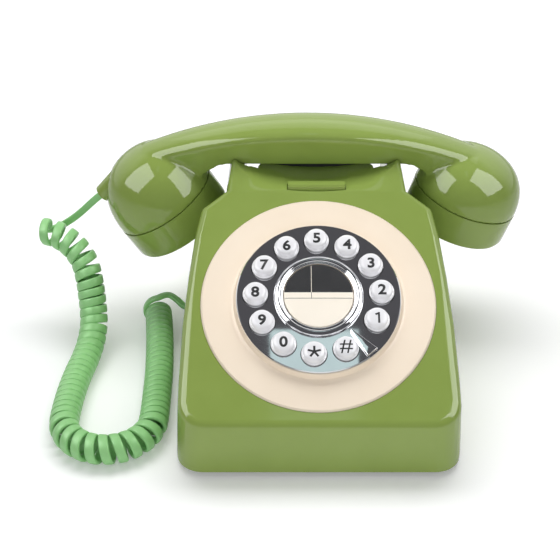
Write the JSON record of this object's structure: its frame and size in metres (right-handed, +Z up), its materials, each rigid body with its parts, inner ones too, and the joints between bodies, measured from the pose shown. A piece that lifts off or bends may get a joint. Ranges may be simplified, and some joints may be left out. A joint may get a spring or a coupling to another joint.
{
  "type": "push-button telephone",
  "caption": "Desk telephone with a sloping green case, a ring of push buttons round a redial button, a lift-off handset on a cradle and a curly cord",
  "frame": {"origin": "centre of the bounding box of the telephone without its cord, on the surface that the feet stand on", "axes": "+Z up, the dial faces -Y, the mouth cup is at -X"},
  "size_m": [0.2938, 0.216, 0.1359],
  "materials": {
    "green_moulding": "glossy, self-coloured",
    "dark_plastic": "matt",
    "steel": "plain",
    "chrome": "mirror plated",
    "white_button": "glossy",
    "rubber": "matt",
    "cream_moulding": "satin",
    "card": "printed",
    "clear_cover": "clear",
    "board": "varnished",
    "winding": "enamelled wire",
    "brass": "polished",
    "cord_green": "satin",
    "clear_plug": "translucent"
  },
  "bodies": {
    "base": {"case_shell": "green_moulding", "base_plate": "dark_plastic", "rubber_feet": "rubber", "base_screws": "steel", "ballast_plate": "steel", "dial_plate": "cream_moulding", "dial_disc": "chrome", "finger_stop": "chrome", "centre_ring": "chrome", "keypad_mat": "rubber", "keypad_board": "board", "keypad_screws": "steel", "dial_screws": "steel", "hook_bracket": "dark_plastic", "hook_spring": "steel", "hook_switch": "dark_plastic", "hook_screws": "steel", "main_board": "board", "board_parts": "dark_plastic", "board_screws": "steel", "ringer_frame": "steel", "ringer_coil": "winding", "bell_gongs": "brass", "gong_screws": "steel", "clapper_pin": "steel", "handset_socket": "dark_plastic", "line_socket": "dark_plastic", "handset_cord": "cord_green", "case_plug": "clear_plug"},
    "handset": {"handset_shell": "green_moulding", "mouth_cap": "green_moulding", "ear_cap": "green_moulding", "microphone": "steel", "receiver": "steel", "cord_boss": "green_moulding"},
    "hook": {"hook_bar": "green_moulding"},
    "redial": {"redial_button": "cream_moulding", "redial_card": "card", "redial_lens": "clear_cover"},
    "clapper": {"clapper": "steel"},
    "level_switch": {"level_switch": "dark_plastic"},
    "tone_switch": {"tone_switch": "dark_plastic"},
    "button_1": {"button_1": "white_button"},
    "button_2": {"button_2": "white_button"},
    "button_3": {"button_3": "white_button"},
    "button_4": {"button_4": "white_button"},
    "button_5": {"button_5": "white_button"},
    "button_6": {"button_6": "white_button"},
    "button_7": {"button_7": "white_button"},
    "button_8": {"button_8": "white_button"},
    "button_9": {"button_9": "white_button"},
    "button_0": {"button_0": "white_button"},
    "button_star": {"button_star": "white_button"},
    "button_hash": {"button_hash": "white_button"}
  },
  "joints": [
    {"name": "handset_lift", "type": "slide", "parent": "base", "child": "handset", "axis": [0, 0, 1], "range_m": [0, 0.06]},
    {"name": "hook_rise", "type": "slide", "parent": "base", "child": "hook", "axis": [0, 0, 1], "range_m": [0, 0.004], "deforming": ["hook_spring"]},
    {"name": "redial_press", "type": "slide", "parent": "base", "child": "redial", "axis": [0, 0.4787, -0.878], "range_m": [0, 0.0012], "stiffness_N_per_m": 400, "springref_m": -0.001},
    {"name": "button_1_press", "type": "slide", "parent": "base", "child": "button_1", "axis": [0, 0.4787, -0.878], "range_m": [0, 0.0015], "stiffness_N_per_m": 400, "springref_m": -0.001},
    {"name": "button_2_press", "type": "slide", "parent": "base", "child": "button_2", "axis": [0, 0.4787, -0.878], "range_m": [0, 0.0015], "stiffness_N_per_m": 400, "springref_m": -0.001},
    {"name": "button_3_press", "type": "slide", "parent": "base", "child": "button_3", "axis": [0, 0.4787, -0.878], "range_m": [0, 0.0015], "stiffness_N_per_m": 400, "springref_m": -0.001},
    {"name": "button_4_press", "type": "slide", "parent": "base", "child": "button_4", "axis": [0, 0.4787, -0.878], "range_m": [0, 0.0015], "stiffness_N_per_m": 400, "springref_m": -0.001},
    {"name": "button_5_press", "type": "slide", "parent": "base", "child": "button_5", "axis": [0, 0.4787, -0.878], "range_m": [0, 0.0015], "stiffness_N_per_m": 400, "springref_m": -0.001},
    {"name": "button_6_press", "type": "slide", "parent": "base", "child": "button_6", "axis": [0, 0.4787, -0.878], "range_m": [0, 0.0015], "stiffness_N_per_m": 400, "springref_m": -0.001},
    {"name": "button_7_press", "type": "slide", "parent": "base", "child": "button_7", "axis": [0, 0.4787, -0.878], "range_m": [0, 0.0015], "stiffness_N_per_m": 400, "springref_m": -0.001},
    {"name": "button_8_press", "type": "slide", "parent": "base", "child": "button_8", "axis": [0, 0.4787, -0.878], "range_m": [0, 0.0015], "stiffness_N_per_m": 400, "springref_m": -0.001},
    {"name": "button_9_press", "type": "slide", "parent": "base", "child": "button_9", "axis": [0, 0.4787, -0.878], "range_m": [0, 0.0015], "stiffness_N_per_m": 400, "springref_m": -0.001},
    {"name": "button_0_press", "type": "slide", "parent": "base", "child": "button_0", "axis": [0, 0.4787, -0.878], "range_m": [0, 0.0015], "stiffness_N_per_m": 400, "springref_m": -0.001},
    {"name": "button_star_press", "type": "slide", "parent": "base", "child": "button_star", "axis": [0, 0.4787, -0.878], "range_m": [0, 0.0015], "stiffness_N_per_m": 400, "springref_m": -0.001},
    {"name": "button_hash_press", "type": "slide", "parent": "base", "child": "button_hash", "axis": [0, 0.4787, -0.878], "range_m": [0, 0.0015], "stiffness_N_per_m": 400, "springref_m": -0.001},
    {"name": "clapper_swing", "type": "hinge", "parent": "base", "child": "clapper", "pos_m": [0, 0.074, 0.0225], "axis": [0, 0, 1], "range_deg": [-2, 2]},
    {"name": "level_switch_slide", "type": "slide", "parent": "base", "child": "level_switch", "axis": [0, 1, 0], "range_m": [-0.002, 0.002]},
    {"name": "tone_switch_slide", "type": "slide", "parent": "base", "child": "tone_switch", "axis": [0, 1, 0], "range_m": [-0.002, 0.002]}
  ],
  "couplings": [
    {"joint": "hook_rise", "follows": "handset_lift", "ratio": 0.0666}
  ]
}
